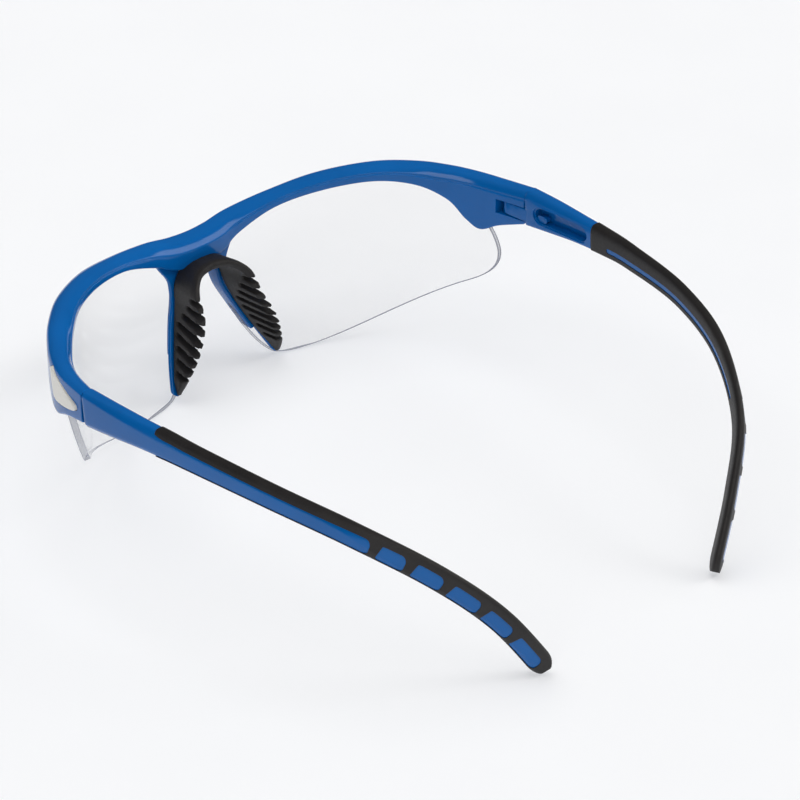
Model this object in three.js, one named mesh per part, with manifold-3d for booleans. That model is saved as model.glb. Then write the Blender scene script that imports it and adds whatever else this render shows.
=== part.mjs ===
// Half-rim wraparound sports glasses with clear lenses, a ribbed rubber nose saddle and
// two folding temples. Millimetres, +Z up, +Y the way the wearer looks, +X the wearer's right.
// The glasses stand open on a table at z = 0, on both lens bottoms with the temple tips just over it.
// The dimensions below count y from the hinge seam; the finished group is centred at the end.
import * as THREE from 'three';
import { mergeVertices } from 'three/addons/utils/BufferGeometryUtils.js';
import Module from 'manifold-3d';

const wasm = await Module();
wasm.setup();

// ---- Driving dimensions ----
const HINGE_HALF_SPAN = 68.6;     // centre of a temple's thickness at the hinge seam, from the middle
const TEMPLE_REACH = 104;       // how far back of the hinge seam the temple tip lies
const TIP_INSET = 41.8;          // how far the tip bends in from the hinge
const TIP_HEIGHT = 1.5;          // middle of the tip above the table
const HINGE_HEIGHT = 37.6;       // middle of the temple's height at the hinge seam

const LENS_RADIUS = 67.9;        // middle of the lens shell, about an 8 base curve
const LENS_THICKNESS = 2;
const LENS_CENTRE = { x: 5.4, y: -18.7, z: 38.6 };
const LENS_AROUND = 60;          // flat strips round the whole sphere of the lens
const LENS_DOWN = 32;

const TOUCH_GAP = 0.3;           // air left between pieces that touch
const SEAM_GAP = 0.3;            // between the frame's end lug and the temple

const PIN_RADIUS = 0.7;
const PIN_CLEARANCE = 0.12;
const PIN_AHEAD = 5.6;           // pin axis in front of the hinge seam
const PIN_FROM_INNER = 1.65;     // pin axis from the lug's inner face
const PIN_HEAD_RADIUS = 1.15;
const PIN_HEAD_HEIGHT = 0.6;
const TONGUE_HEIGHT = 3.4;
const TONGUE_THICKNESS = 2.5;
const POCKET_HEIGHT = 4.2;
const POCKET_AHEAD = 2.6;          // pocket's front wall in front of the pin axis

const GRIP_START = 23.5;         // length of bare temple before the rubber
const GRIP_INNER_WALL = 0.95;
const GRIP_TOP_WALL = 0.9;
const GRIP_BOTTOM_WALL = 0.6;
const GRIP_OUTER_WALL = 0.75;
const GRIP_TIP_CAP = 2.2;        // rubber past the end of the hard core
const BAR_PLACES = [51.3, 43, 34, 23.9, 13.5];  // rubber bars over the windows, from the tip
const BAR_WIDTH = 2;
const WINDOW_END = 2.8;          // last window's end from the tip
const SLOT_START = 30;
const SLOT_END = 92;
const SLOT_WIDTH = 0.8;

const RECESS_START = 4.5;        // oblong hollow in the temple's inner face
const RECESS_LENGTH = 17;
const RECESS_HEIGHT = 3.6;
const RECESS_DEPTH = 1.5;

const PAD_THICKNESS = 2.2;
const RIB_COUNT = 8;
const RIB_PITCH = 2.55;
const RIB_SLOT = 0.95;
const RIB_TOP = 26;              // height of the highest rib's upper side
const RIB_DEPTHS = [7.6, 3];     // slot depth at the longest rib and at the shortest ones
const RIB_TILT = 0.08;
const RIB_CUTTER = 12;
const PAD_BACK_Y = 33.2;         // slot depths count from here
const BADGE_THICKNESS = 0.7;
const BADGE_PROUD = 0.25;

const GLOSS_BLUE = 0x0b50a8;
const RUBBER_BLACK = 0x2b2a2b;
const CLEAR_GREY = 0xdfe3e6;
const SATIN_SILVER = 0xd8d8d3;
const STEEL = 0x9a9da0;

// ---- Solids ----
function toSolid(geometry) {
  const bare = geometry.clone();
  bare.deleteAttribute('normal');
  bare.deleteAttribute('uv');
  const merged = mergeVertices(bare, 1e-5);
  const vertProperties = new Float32Array(merged.attributes.position.array);
  const triVerts = new Uint32Array(merged.index.array);
  return new wasm.Manifold(new wasm.Mesh({ numProp: 3, vertProperties, triVerts }));
}

function toGeometry(solid) {
  const mesh = solid.getMesh();
  const geometry = new THREE.BufferGeometry();
  geometry.setAttribute('position', new THREE.BufferAttribute(new Float32Array(mesh.vertProperties), 3));
  geometry.setIndex(new THREE.BufferAttribute(new Uint32Array(mesh.triVerts), 1));
  geometry.computeVertexNormals();
  return geometry;
}

function turnInsideOut(geometry) {
  const index = geometry.index.array;
  for (let i = 0; i < index.length; i += 3) {
    const keep = index[i];
    index[i] = index[i + 1];
    index[i + 1] = keep;
  }
  return geometry;
}

function signedVolume(geometry) {
  const p = geometry.attributes.position;
  const index = geometry.index.array;
  const [a, b, c] = [new THREE.Vector3(), new THREE.Vector3(), new THREE.Vector3()];
  let volume = 0;
  for (let i = 0; i < index.length; i += 3) {
    a.fromBufferAttribute(p, index[i]);
    b.fromBufferAttribute(p, index[i + 1]);
    c.fromBufferAttribute(p, index[i + 2]);
    volume += a.dot(b.cross(c)) / 6;
  }
  return volume;
}

// Mirror image across the middle plane x = 0.
function mirrored(geometry) {
  const copy = geometry.clone();
  copy.scale(-1, 1, 1);
  return turnInsideOut(copy);
}

// Closed skin over a row of sections that all have the same number of corners.
function loft(sections) {
  const count = sections[0].length;
  const positions = [];
  for (const section of sections) {
    for (const corner of section) positions.push(corner.x, corner.y, corner.z);
  }
  const index = [];
  for (let i = 0; i + 1 < sections.length; i += 1) {
    for (let j = 0; j < count; j += 1) {
      const next = (j + 1) % count;
      const a = i * count + j;
      const b = i * count + next;
      index.push(a, b, b + count, a, b + count, a + count);
    }
  }
  capEnd(sections[0], 0, index, true);
  capEnd(sections[sections.length - 1], (sections.length - 1) * count, index, false);
  const geometry = new THREE.BufferGeometry();
  geometry.setAttribute('position', new THREE.Float32BufferAttribute(positions, 3));
  geometry.setIndex(new THREE.BufferAttribute(new Uint32Array(index), 1));
  return signedVolume(geometry) < 0 ? turnInsideOut(geometry) : geometry;
}

// Triangles over one flat end section, in the section's own plane.
function capEnd(section, offset, index, first) {
  const centre = section.reduce((sum, p) => sum.add(p), new THREE.Vector3()).divideScalar(section.length);
  const normal = new THREE.Vector3();
  section.forEach((p, i) => {
    const q = section[(i + 1) % section.length];
    normal.add(p.clone().sub(centre).cross(q.clone().sub(centre)));
  });
  normal.normalize();
  const side = section[0].clone().sub(centre).normalize();
  const other = normal.clone().cross(side);
  const flat = section.map((p) => {
    const d = p.clone().sub(centre);
    return new THREE.Vector2(d.dot(side), d.dot(other));
  });
  for (const [a, b, c] of THREE.ShapeUtils.triangulateShape(flat, [])) {
    if (first) index.push(offset + a, offset + c, offset + b);
    else index.push(offset + a, offset + b, offset + c);
  }
}

// Rows of numbers smoothed by one curve each, read at any place from 0 to rows - 1.
function smoothRows(rows) {
  const columns = rows[0].map((_, k) => {
    const points = rows.map((row, i) => new THREE.Vector2(i, row[k]));
    return new THREE.SplineCurve(points);
  });
  const spans = rows.length - 1;
  return (place) => columns.map((curve) => curve.getPoint(place / spans).y);
}

// Outline moved outwards by a distance, corner by corner.
function offsetOutline(points, distance) {
  const n = points.length;
  const turn = THREE.ShapeUtils.area(points) > 0 ? 1 : -1;
  return points.map((p, i) => {
    const before = p.clone().sub(points[(i + n - 1) % n]).normalize();
    const after = points[(i + 1) % n].clone().sub(p).normalize();
    const normal = new THREE.Vector2(before.y + after.y, -before.x - after.x).normalize();
    const stretch = Math.max(0.5, normal.dot(new THREE.Vector2(after.y, -after.x)));
    return p.clone().addScaledVector(normal, (turn * distance) / stretch);
  });
}

function cylinderZ(radius, low, high, x, y, sides = 24) {
  const geometry = new THREE.CylinderGeometry(radius, radius, high - low, sides);
  geometry.rotateX(Math.PI / 2);
  geometry.translate(x, y, (low + high) / 2);
  return geometry;
}

// A plan outline pulled straight up from one height to another.
function standing(points, low, high) {
  const geometry = new THREE.ExtrudeGeometry(new THREE.Shape(points), { depth: high - low, bevelEnabled: false });
  geometry.translate(0, 0, low);
  return geometry;
}

// ---- Lenses ----
function lensPlanY(x, radius = LENS_RADIUS) {
  const across = x - LENS_CENTRE.x;
  return LENS_CENTRE.y + Math.sqrt(radius * radius - across * across);
}

// Front view of the right lens: straight-ahead x across and z up.
function lensOutline() {
  const shape = new THREE.Shape();
  shape.moveTo(6.4, 28.5);
  shape.quadraticCurveTo(6.4, 18.5, 10.2, 9.2);
  shape.quadraticCurveTo(13, 2.6, 16, 0.8);
  shape.quadraticCurveTo(18.4, -0.5, 23, -0.15);
  shape.quadraticCurveTo(40, 0.8, 59.6, 14.4);
  shape.quadraticCurveTo(64.4, 17.9, 65.1, 23.4);
  shape.quadraticCurveTo(65.4, 27.5, 64.6, 31);
  shape.quadraticCurveTo(63.4, 39.6, 55.5, 40.6);
  shape.quadraticCurveTo(40, 42.2, 24, 36.4);
  shape.quadraticCurveTo(14, 32.8, 9.4, 31.6);
  shape.closePath();
  return shape.getPoints(5);
}

function lensSolid(clearance) {
  const half = LENS_THICKNESS / 2 + clearance;
  const outer = new THREE.SphereGeometry(LENS_RADIUS + half, LENS_AROUND, LENS_DOWN);
  const inner = new THREE.SphereGeometry(LENS_RADIUS - half, LENS_AROUND, LENS_DOWN);
  const place = [LENS_CENTRE.x, LENS_CENTRE.y, LENS_CENTRE.z];
  const shell = toSolid(outer.translate(...place)).subtract(toSolid(inner.translate(...place)));
  const outline = offsetOutline(lensOutline(), clearance);
  const prism = new THREE.ExtrudeGeometry(new THREE.Shape(outline), { depth: 90, bevelEnabled: false });
  prism.rotateX(Math.PI / 2);
  prism.translate(0, 90, 0);
  const ahead = new THREE.BoxGeometry(200, 200, 200).translate(0, 100 + LENS_CENTRE.y, 0);
  return shell.intersect(toSolid(prism)).intersect(toSolid(ahead));
}

function aboveTable(solid) {
  const slab = new THREE.BoxGeometry(400, 400, 20).translate(0, 0, -10);
  return solid.subtract(toSolid(slab));
}

// ---- Brow bar, bridge and end lugs ----
// x, y, top, bottom, front, back, chin: y follows the lens where it is null; front and back are
// measured from the lens's middle surface; chin is how much higher the front lower edge sits.
const BROW_ROWS = [
  [0, 48.3, 36, 30.5, 2.4, 4.2, 0],
  [6, 48.6, 36.2, 29.6, 2.4, 4.2, 0],
  [13, null, 37.2, 31.9, 2.6, 3.6, 0],
  [24, null, 39, 35.8, 2.9, 3, 0],
  [36, null, 41.5, 38, 3.1, 2.8, 0],
  [47.5, null, 43.2, 39.4, 3.2, 2.8, 0],
  [55.5, null, 43.4, 38.4, 3.2, 2.8, 0.4],
  [60.6, null, 42.9, 34.9, 3.1, 2.6, 0.7],
  [63.4, null, 42.4, 29.8, 3, 2.4, 1.1],
  [HINGE_HALF_SPAN - 3.4, 12.9, 42.1, 27.7, 2.8, 2.3, 1.5],
  [HINGE_HALF_SPAN - 1.7, 7.6, 41.9, 30.2, 2.6, 2.2, 1.6],
  [HINGE_HALF_SPAN, SEAM_GAP / 2, 42.2, 32.8, 2.2, 2.2, 1.3],
];
const BROW_STEPS = 3;
const rowAt = smoothRows(BROW_ROWS.map(([x, y, ...rest]) => [x, y ?? lensPlanY(x), ...rest]));

// Outward horizontal direction of the brow bar at a place along its rows.
function browNormal(place) {
  const last = BROW_ROWS.length - 1;
  if (place >= last) return new THREE.Vector3(1, 0, 0);
  const [x0, y0] = rowAt(Math.max(0, place - 0.05));
  const [x1, y1] = rowAt(Math.min(last, place + 0.05));
  return new THREE.Vector3(y0 - y1, x1 - x0, 0).normalize();
}

function browSection(place) {
  const [x, y, top, bottom, front, back, chin] = rowAt(place);
  const normal = browNormal(place);
  const height = top - bottom;
  const ledge = Math.min(2.6, height * 0.42);
  const outline = [
    [-back + 0.7, bottom],
    [-back, bottom + 0.7],
    [-back, top - ledge],
    [-back + 0.5, top - ledge + 0.15],
    [0.2, top - 0.25],
    [1.3, top],
    [front - 0.6, top - 0.6],
    [front, top - 1.7],
    [front, bottom + chin + 0.8],
    [front - 0.8, bottom + chin],
    [front - 2.2, bottom + chin * 0.5],
  ];
  return outline.map(([u, z]) => new THREE.Vector3(x + normal.x * u, y + normal.y * u, z));
}

function browBar() {
  const right = [];
  const spans = (BROW_ROWS.length - 1) * BROW_STEPS;
  for (let i = 0; i <= spans; i += 1) right.push(browSection(i / BROW_STEPS));
  const left = right.slice(1).reverse().map((section) => section.map((p) => new THREE.Vector3(-p.x, p.y, p.z)));
  return toSolid(loft([...left, ...right]));
}

// ---- Nose arms: thin strips down the nasal edge of each lens ----
const ARM_ROWS = [
  [8.2, 32.5],
  [7.4, 27],
  [7.9, 21],
  [10.2, 15],
  [13, 8.3],
  [14.9, 4],
  [16, 1.8],
];
const ARM_WIDTH = 3.4;
const ARM_WALL = 1;              // arm behind the lens
const ARM_LIP = 0.7;             // arm in front of the lens
const ARM_EASE = 0.35;           // cut off the arm's long edges
const ARM_BEHIND = LENS_THICKNESS / 2 + TOUCH_GAP + ARM_WALL;
const ARM_AHEAD = LENS_THICKNESS / 2 + TOUCH_GAP + ARM_LIP;
const FRONT_LIP_END = 8.5;

function sphereY(x, z) {
  const across = x - LENS_CENTRE.x;
  const rise = z - LENS_CENTRE.z;
  return LENS_CENTRE.y + Math.sqrt(LENS_RADIUS * LENS_RADIUS - across * across - rise * rise);
}

function armStrip(ahead) {
  const at = smoothRows(ARM_ROWS);
  const sections = [];
  const spans = (ARM_ROWS.length - 1) * 3;
  for (let i = 0; i <= spans; i += 1) {
    const place = i / 3;
    const [x, z] = at(place);
    const [xa, za] = at(Math.max(0, place - 0.1));
    const [xb, zb] = at(Math.min(ARM_ROWS.length - 1, place + 0.1));
    const side = new THREE.Vector2(za - zb, xb - xa).normalize();
    const y = sphereY(x, z);
    const half = (ARM_WIDTH / 2) * (place > ARM_ROWS.length - 2 ? 0.8 : 1);
    const corner = (across, depth) => new THREE.Vector3(x + side.x * across, y + depth, z + side.y * across);
    sections.push([
      corner(-half, -ARM_BEHIND + ARM_EASE), corner(-half + ARM_EASE, -ARM_BEHIND),
      corner(half - ARM_EASE, -ARM_BEHIND), corner(half, -ARM_BEHIND + ARM_EASE),
      corner(half, ahead - ARM_EASE), corner(half - ARM_EASE, ahead),
      corner(-half + ARM_EASE, ahead), corner(-half, ahead - ARM_EASE),
    ]);
  }
  return toSolid(loft(sections));
}

function noseArm() {
  const rear = armStrip(-LENS_THICKNESS / 2 - TOUCH_GAP);
  const lipBlock = new THREE.BoxGeometry(40, 40, 40).translate(20, 45, FRONT_LIP_END + 20);
  const front = armStrip(ARM_AHEAD).intersect(toSolid(lipBlock));
  return rear.add(front);
}

// ---- Hinge ----
const lugSpans = BROW_ROWS.length - 1;
const innerFace = HINGE_HALF_SPAN - BROW_ROWS[lugSpans][5];
const lugTurn = 0.2;             // the lug leans in by this many radians at the pin
const PIN_AT = {
  x: innerFace + PIN_FROM_INNER - PIN_AHEAD * Math.tan(lugTurn) * 0.55,
  y: PIN_AHEAD,
};
const TONGUE_MIDDLE = 35.9;

function tonguePlan(grow, rootY) {
  const radius = TONGUE_THICKNESS / 2 + grow;
  const points = [];
  for (let i = 0; i <= 8; i += 1) {
    const angle = Math.PI * (1 - i / 8) + lugTurn * 0.6;
    points.push(new THREE.Vector2(PIN_AT.x + radius * Math.cos(angle), PIN_AT.y + radius * Math.sin(angle)));
  }
  const rootInner = innerFace + 0.25 - grow;
  points.push(new THREE.Vector2(rootInner + TONGUE_THICKNESS + grow * 2, rootY));
  points.push(new THREE.Vector2(rootInner, rootY));
  return points;
}

function hingePocket() {
  const wall = PIN_AT.x + TONGUE_THICKNESS / 2 + TOUCH_GAP + 0.1;
  const points = [
    new THREE.Vector2(innerFace - 8, PIN_AT.y + POCKET_AHEAD),
    new THREE.Vector2(wall - 0.7, PIN_AT.y + POCKET_AHEAD),
    new THREE.Vector2(wall, PIN_AT.y),
    new THREE.Vector2(Math.max(wall, innerFace + TONGUE_THICKNESS + 0.25 + TOUCH_GAP), -3),
    new THREE.Vector2(innerFace - 8, -3),
  ];
  return toSolid(standing(points, TONGUE_MIDDLE - POCKET_HEIGHT / 2, TONGUE_MIDDLE + POCKET_HEIGHT / 2));
}

const PIN_LOW = 32.2;
const PIN_TOP = TONGUE_MIDDLE + POCKET_HEIGHT / 2 + 2;

function hingePin() {
  const shank = toSolid(cylinderZ(PIN_RADIUS, PIN_LOW, PIN_TOP, PIN_AT.x, PIN_AT.y));
  const head = toSolid(cylinderZ(PIN_HEAD_RADIUS, PIN_LOW, PIN_LOW + PIN_HEAD_HEIGHT, PIN_AT.x, PIN_AT.y));
  return shank.add(head);
}

function pinBore() {
  const c = PIN_CLEARANCE;
  const shank = cylinderZ(PIN_RADIUS + c, PIN_LOW - 6, PIN_TOP + c, PIN_AT.x, PIN_AT.y);
  const head = cylinderZ(PIN_HEAD_RADIUS + c, PIN_LOW - 6, PIN_LOW + PIN_HEAD_HEIGHT + c, PIN_AT.x, PIN_AT.y);
  return toSolid(shank).add(toSolid(head));
}

// ---- Badge plate on the lug's outer face ----
const BADGE_PLACE = lugSpans - 1;     // place along the brow rows of the badge's own origin

function badgePrism(grow, from, to) {
  const [x, y] = rowAt(BADGE_PLACE);
  const front = rowAt(BADGE_PLACE)[4];
  const normal = browNormal(BADGE_PLACE);
  const outline = new THREE.Shape();
  outline.moveTo(6.7, 41);
  outline.quadraticCurveTo(3.6, 39.8, -5.5, 37.8);
  outline.quadraticCurveTo(-6.9, 36.9, -5.4, 36);
  outline.quadraticCurveTo(0.1, 33.6, 4.3, 33.1);
  outline.quadraticCurveTo(6.4, 33, 6.7, 34.8);
  outline.quadraticCurveTo(7.6, 38.6, 7.5, 40.6);
  outline.quadraticCurveTo(7.3, 41.2, 6.7, 41);
  const points = offsetOutline(outline.getPoints(4).slice(0, -1), grow);
  const geometry = new THREE.ExtrudeGeometry(new THREE.Shape(points), { depth: to - from, bevelEnabled: false });
  const along = new THREE.Vector3(-normal.y, normal.x, 0);
  const basis = new THREE.Matrix4().makeBasis(along, new THREE.Vector3(0, 0, 1), normal);
  basis.setPosition(x + normal.x * (front + from), y + normal.y * (front + from), 0);
  geometry.applyMatrix4(basis);
  return toSolid(geometry);
}

// ---- Temples ----
// Shares of the reach, inset and drop, then thickness, height and lower outer chamfer in millimetres.
const TEMPLE_ROWS = [
  [0, 0, 0, 4.4, 9.3, 2.2],
  [0.085, 0.004, -0.022, 4.3, 8.3, 2],
  [0.168, 0.014, -0.042, 4, 7.2, 1.6],
  [0.262, 0.03, -0.057, 3.6, 6.4, 1.2],
  [0.357, 0.053, -0.06, 3.2, 5.8, 0.9],
  [0.546, 0.133, -0.04, 2.9, 5.4, 0.8],
  [0.727, 0.288, 0.052, 2.9, 5.3, 0.8],
  [0.877, 0.522, 0.262, 2.9, 5.2, 0.8],
  [0.955, 0.77, 0.58, 2.9, 5.1, 0.8],
  [1, 1, 1, 2.9, 5, 0.8],
];
const templeRowAt = smoothRows(TEMPLE_ROWS);

function templePoint(place) {
  const [back, inset, drop] = templeRowAt(place);
  return new THREE.Vector3(
    HINGE_HALF_SPAN - TIP_INSET * inset,
    -SEAM_GAP / 2 - TEMPLE_REACH * back,
    HINGE_HEIGHT - (HINGE_HEIGHT - TIP_HEIGHT) * drop,
  );
}

// Stations along the temple, each with its length from the seam and its own axes, which
// follow the bends without twisting.
function templeStations() {
  const fine = 24;
  const total = (TEMPLE_ROWS.length - 1) * fine;
  const stations = [];
  let length = 0;
  let up = new THREE.Vector3(0, 0, 1);
  for (let i = 0; i <= total; i += 1) {
    const place = i / fine;
    const at = templePoint(place);
    const ahead = templePoint(Math.min(TEMPLE_ROWS.length - 1, place + 0.02));
    const behind = templePoint(Math.max(0, place - 0.02));
    const along = i === 0 ? new THREE.Vector3(0, -1, 0) : ahead.sub(behind).normalize();
    if (i > 0) length += at.distanceTo(stations[i - 1].at);
    up = up.clone().addScaledVector(along, -up.dot(along)).normalize();
    const out = up.clone().cross(along);
    stations.push({ place, length, at, along, up, out });
  }
  return stations;
}
const STATIONS = templeStations();
const TEMPLE_LENGTH = STATIONS[STATIONS.length - 1].length;

function stationAt(length) {
  const wanted = Math.min(Math.max(length, 0), TEMPLE_LENGTH);
  let i = STATIONS.findIndex((s) => s.length >= wanted);
  i = Math.max(1, i);
  const [a, b] = [STATIONS[i - 1], STATIONS[i]];
  const t = (wanted - a.length) / (b.length - a.length);
  const place = a.place + (b.place - a.place) * t;
  const [, , , thickness, height, chin] = templeRowAt(place);
  return {
    at: a.at.clone().lerp(b.at, t),
    out: a.out.clone().lerp(b.out, t).normalize(),
    up: a.up.clone().lerp(b.up, t).normalize(),
    thickness,
    height,
    chin,
  };
}

// Height left near a rounded end, as a share of the full height.
function endRounding(length, end, radius) {
  const past = Math.max(0, length - (end - radius)) / radius;
  return Math.sqrt(Math.max(0.08, 1 - past * past));
}

function templeSection(station, shape) {
  const { inner, outer, top, bottom, bevel, ridge, chin, corner } = shape;
  const outline = [
    [inner, bottom + corner],
    [inner, top - ridge],
    [inner + ridge * 0.6, top],
    [outer - bevel * 1.2, top],
    [outer, top - bevel],
    [outer, bottom + chin],
    [outer - chin * 0.5, bottom + chin * 0.25],
    [inner + corner, bottom],
  ];
  return outline.map(([u, v]) => station.at.clone()
    .addScaledVector(station.out, u)
    .addScaledVector(station.up, v));
}

function lengthsBetween(start, end, step, roundedEnd = 0) {
  const stops = [];
  const straight = end - roundedEnd;
  const count = Math.max(1, Math.round((straight - start) / step));
  for (let i = 0; i <= count; i += 1) stops.push(start + ((straight - start) * i) / count);
  if (roundedEnd > 0) {
    for (const share of [0.45, 0.8, 1]) stops.push(straight + roundedEnd * share);
  }
  return stops;
}

// The temple's full outer form between two lengths.
function templeEnvelope(start, end, roundedEnd) {
  const sections = lengthsBetween(start, end, 5, roundedEnd).map((length) => {
    const station = stationAt(length);
    const share = roundedEnd > 0 ? endRounding(length, end, roundedEnd) : 1;
    const half = station.height / 2;
    const fade = THREE.MathUtils.smoothstep(length, 0, 45);
    return templeSection(station, {
      inner: -station.thickness / 2,
      outer: station.thickness / 2,
      top: half * share,
      bottom: -half * share,
      bevel: (1.7 - 0.8 * fade) * share,
      ridge: (2.1 - 1.2 * fade) * share,
      chin: station.chin * share,
      corner: 0.7 * share,
    });
  });
  return toSolid(loft(sections));
}

// The hard core inside the rubber, grown by a clearance on every side.
function innerCore(grow) {
  const end = TEMPLE_LENGTH - GRIP_TIP_CAP + grow;
  const sections = lengthsBetween(GRIP_START - 2, end, 5, 2.2).map((length) => {
    const station = stationAt(length);
    const share = endRounding(length, end, 2.2);
    const top = station.height / 2 - GRIP_TOP_WALL;
    const bottom = -station.height / 2 + GRIP_BOTTOM_WALL;
    const middle = (top + bottom) / 2;
    return templeSection(station, {
      inner: -station.thickness / 2 + GRIP_INNER_WALL - grow,
      outer: station.thickness / 2 - GRIP_OUTER_WALL + grow,
      top: middle + (top - middle) * share + grow,
      bottom: middle + (bottom - middle) * share - grow,
      bevel: 0.4,
      ridge: 0.4,
      chin: 0.4,
      corner: 0.4,
    });
  });
  return toSolid(loft(sections));
}

// Raised islands of the core that show between the rubber bars.
function windowRanges() {
  const edges = [GRIP_START + 1.6];
  for (const place of BAR_PLACES) {
    edges.push(TEMPLE_LENGTH - place - BAR_WIDTH / 2, TEMPLE_LENGTH - place + BAR_WIDTH / 2);
  }
  edges.push(TEMPLE_LENGTH - WINDOW_END);
  return BAR_PLACES.concat(0).map((_, i) => [edges[i * 2], edges[i * 2 + 1]]);
}

function windowIsland([start, end], grow) {
  const from = start - grow;
  const to = end + grow;
  const stops = [0, 1.2];
  const lengths = [...stops.map((s) => from + s), ...lengthsBetween(from + 1.2, to - 1.2, 5).slice(1, -1),
    ...stops.map((s) => to - s).reverse()];
  const sections = lengths.map((length) => {
    const station = stationAt(length);
    const near = Math.min(length - from, to - length);
    const share = near < 1.2 ? 0.62 + 0.38 * Math.sqrt(1 - (1 - near / 1.2) ** 2) : 1;
    const top = station.height / 2 - GRIP_TOP_WALL - 0.9;
    const bottom = -station.height / 2 + GRIP_BOTTOM_WALL;
    const middle = (top + bottom) / 2;
    return templeSection(station, {
      inner: 0,
      outer: station.thickness / 2 + (grow > 0 ? 1 : -0.05),
      top: middle + (top - middle) * share + grow,
      bottom: middle + (bottom - middle) * share - grow,
      bevel: 0.3,
      ridge: 0.3,
      chin: 0.3,
      corner: 0.3,
    });
  });
  return toSolid(loft(sections));
}

function windowIslands(grow) {
  return windowRanges().map((range) => windowIsland(range, grow)).reduce((sum, island) => sum.add(island));
}

// A row of points round an oblong with round ends.
function oblong(length, height) {
  const points = [];
  const radius = height / 2;
  for (const [end, turn] of [[1, -0.5], [-1, 0.5]]) {
    for (let i = 0; i <= 8; i += 1) {
      const angle = Math.PI * (turn + i / 8);
      points.push(new THREE.Vector2(end * (length / 2 - radius) + radius * Math.cos(angle), radius * Math.sin(angle)));
    }
  }
  return points;
}

function recessCut() {
  const station = stationAt(RECESS_START + RECESS_LENGTH / 2);
  const before = stationAt(RECESS_START);
  const after = stationAt(RECESS_START + RECESS_LENGTH);
  const along = after.at.clone().sub(before.at).normalize();
  const up = station.up.clone().addScaledVector(along, -station.up.dot(along)).normalize();
  const out = up.clone().cross(along);
  const shape = new THREE.Shape(oblong(RECESS_LENGTH, RECESS_HEIGHT));
  const geometry = new THREE.ExtrudeGeometry(shape, { depth: RECESS_DEPTH + 2, bevelEnabled: false });
  const basis = new THREE.Matrix4().makeBasis(along, up, along.clone().cross(up));
  const face = -station.thickness / 2 + RECESS_DEPTH;
  basis.setPosition(station.at.clone().addScaledVector(out, face));
  geometry.applyMatrix4(basis);
  return toSolid(geometry);
}

function templeCore() {
  const bare = templeEnvelope(0, GRIP_START, 0);
  const tongue = toSolid(standing(
    tonguePlan(0, -1.2),
    TONGUE_MIDDLE - TONGUE_HEIGHT / 2,
    TONGUE_MIDDLE + TONGUE_HEIGHT / 2,
  ));
  const bore = toSolid(cylinderZ(PIN_RADIUS + PIN_CLEARANCE, 20, 60, PIN_AT.x, PIN_AT.y));
  return bare.subtract(recessCut()).add(tongue).subtract(bore).add(innerCore(0)).add(windowIslands(0));
}

function slotCut() {
  const sections = lengthsBetween(SLOT_START, SLOT_END, 4).map((length) => {
    const station = stationAt(length);
    const low = -station.height / 2 + 1.1;
    const inner = -station.thickness / 2;
    return [[inner - 1, low], [inner - 1, low + SLOT_WIDTH], [inner + 0.9, low + SLOT_WIDTH], [inner + 0.9, low]]
      .map(([u, v]) => station.at.clone().addScaledVector(station.out, u).addScaledVector(station.up, v));
  });
  return toSolid(loft(sections));
}

function templeGrip() {
  const whole = aboveTable(templeEnvelope(GRIP_START + TOUCH_GAP, TEMPLE_LENGTH, 2.8));
  return whole.subtract(innerCore(TOUCH_GAP)).subtract(windowIslands(TOUCH_GAP)).subtract(slotCut());
}

// ---- Nose saddle ----
// Inner side of the strip from the right wing's tip up and over the bridge: front edge x and z,
// then back edge x, y, z. The front edge lies just behind the nose arm, and over the bridge just
// behind the bridge; the left half mirrors it.
const PAD_ROWS = [
  [14.4, 1.6, 14.9, 34.8, 1.7],
  [13.2, 4.4, 13.8, 33.2, 4.8],
  [11, 8.6, 12.3, 31.5, 9],
  [8.2, 15, 10.2, 30.3, 15],
  [6.2, 21, 7.7, 32.2, 21],
  [5, 25, 6, 37.2, 25],
  [2.8, 27.4, 3.3, 40, 27],
  [0, 28, 0, 40.8, 27.6],
];
const BRIDGE_PAD_Y = 46.3;

function padFrontY(x, z) {
  return Math.min(sphereY(x, z) - ARM_BEHIND - TOUCH_GAP, BRIDGE_PAD_Y);
}

function padSections() {
  const at = smoothRows(PAD_ROWS);
  const steps = 3;
  const last = PAD_ROWS.length - 1;
  const sections = [];
  for (let i = 0; i <= last * steps; i += 1) {
    const place = i / steps;
    const values = at(place);
    const a = at(Math.max(0, place - 0.1));
    const b = at(Math.min(last, place + 0.1));
    const side = (k, rise) => {
      if (place === last) return new THREE.Vector3(0, 0, 1);
      return new THREE.Vector3(b[rise] - a[rise], 0, a[k] - b[k]).normalize();
    };
    const frontSide = side(0, 1);
    const backSide = side(2, 4);
    const front = new THREE.Vector3(values[0], padFrontY(values[0], values[1]), values[1]);
    const back = new THREE.Vector3(values[2], values[3], values[4]);
    const t = PAD_THICKNESS;
    const taper = place < 1 ? 0.55 + 0.45 * place : 1;
    sections.push([
      front.clone(),
      front.clone().addScaledVector(frontSide, t * taper),
      back.clone().lerp(front, 0.25).addScaledVector(backSide, t * taper),
      back.clone().lerp(front, 0.06).addScaledVector(backSide, t * 0.8 * taper),
      back.clone().addScaledVector(backSide, t * 0.4 * taper),
      back.clone().lerp(front, 0.1),
    ]);
  }
  return sections;
}

function ribSlots() {
  const slots = [];
  for (let i = 0; i < RIB_COUNT - 1; i += 1) {
    const z = RIB_TOP - RIB_PITCH * (i + 1);
    const reach = Math.max(RIB_DEPTHS[1], RIB_DEPTHS[0] - 1.4 * Math.abs(i - 2.6));
    const slot = new THREE.BoxGeometry(RIB_CUTTER, RIB_CUTTER, RIB_SLOT);
    slot.rotateX(-RIB_TILT);
    slot.translate(RIB_CUTTER - 1, PAD_BACK_Y + reach - RIB_CUTTER / 2, z);
    slots.push(toSolid(slot));
  }
  return slots.reduce((sum, slot) => sum.add(slot));
}

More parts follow.
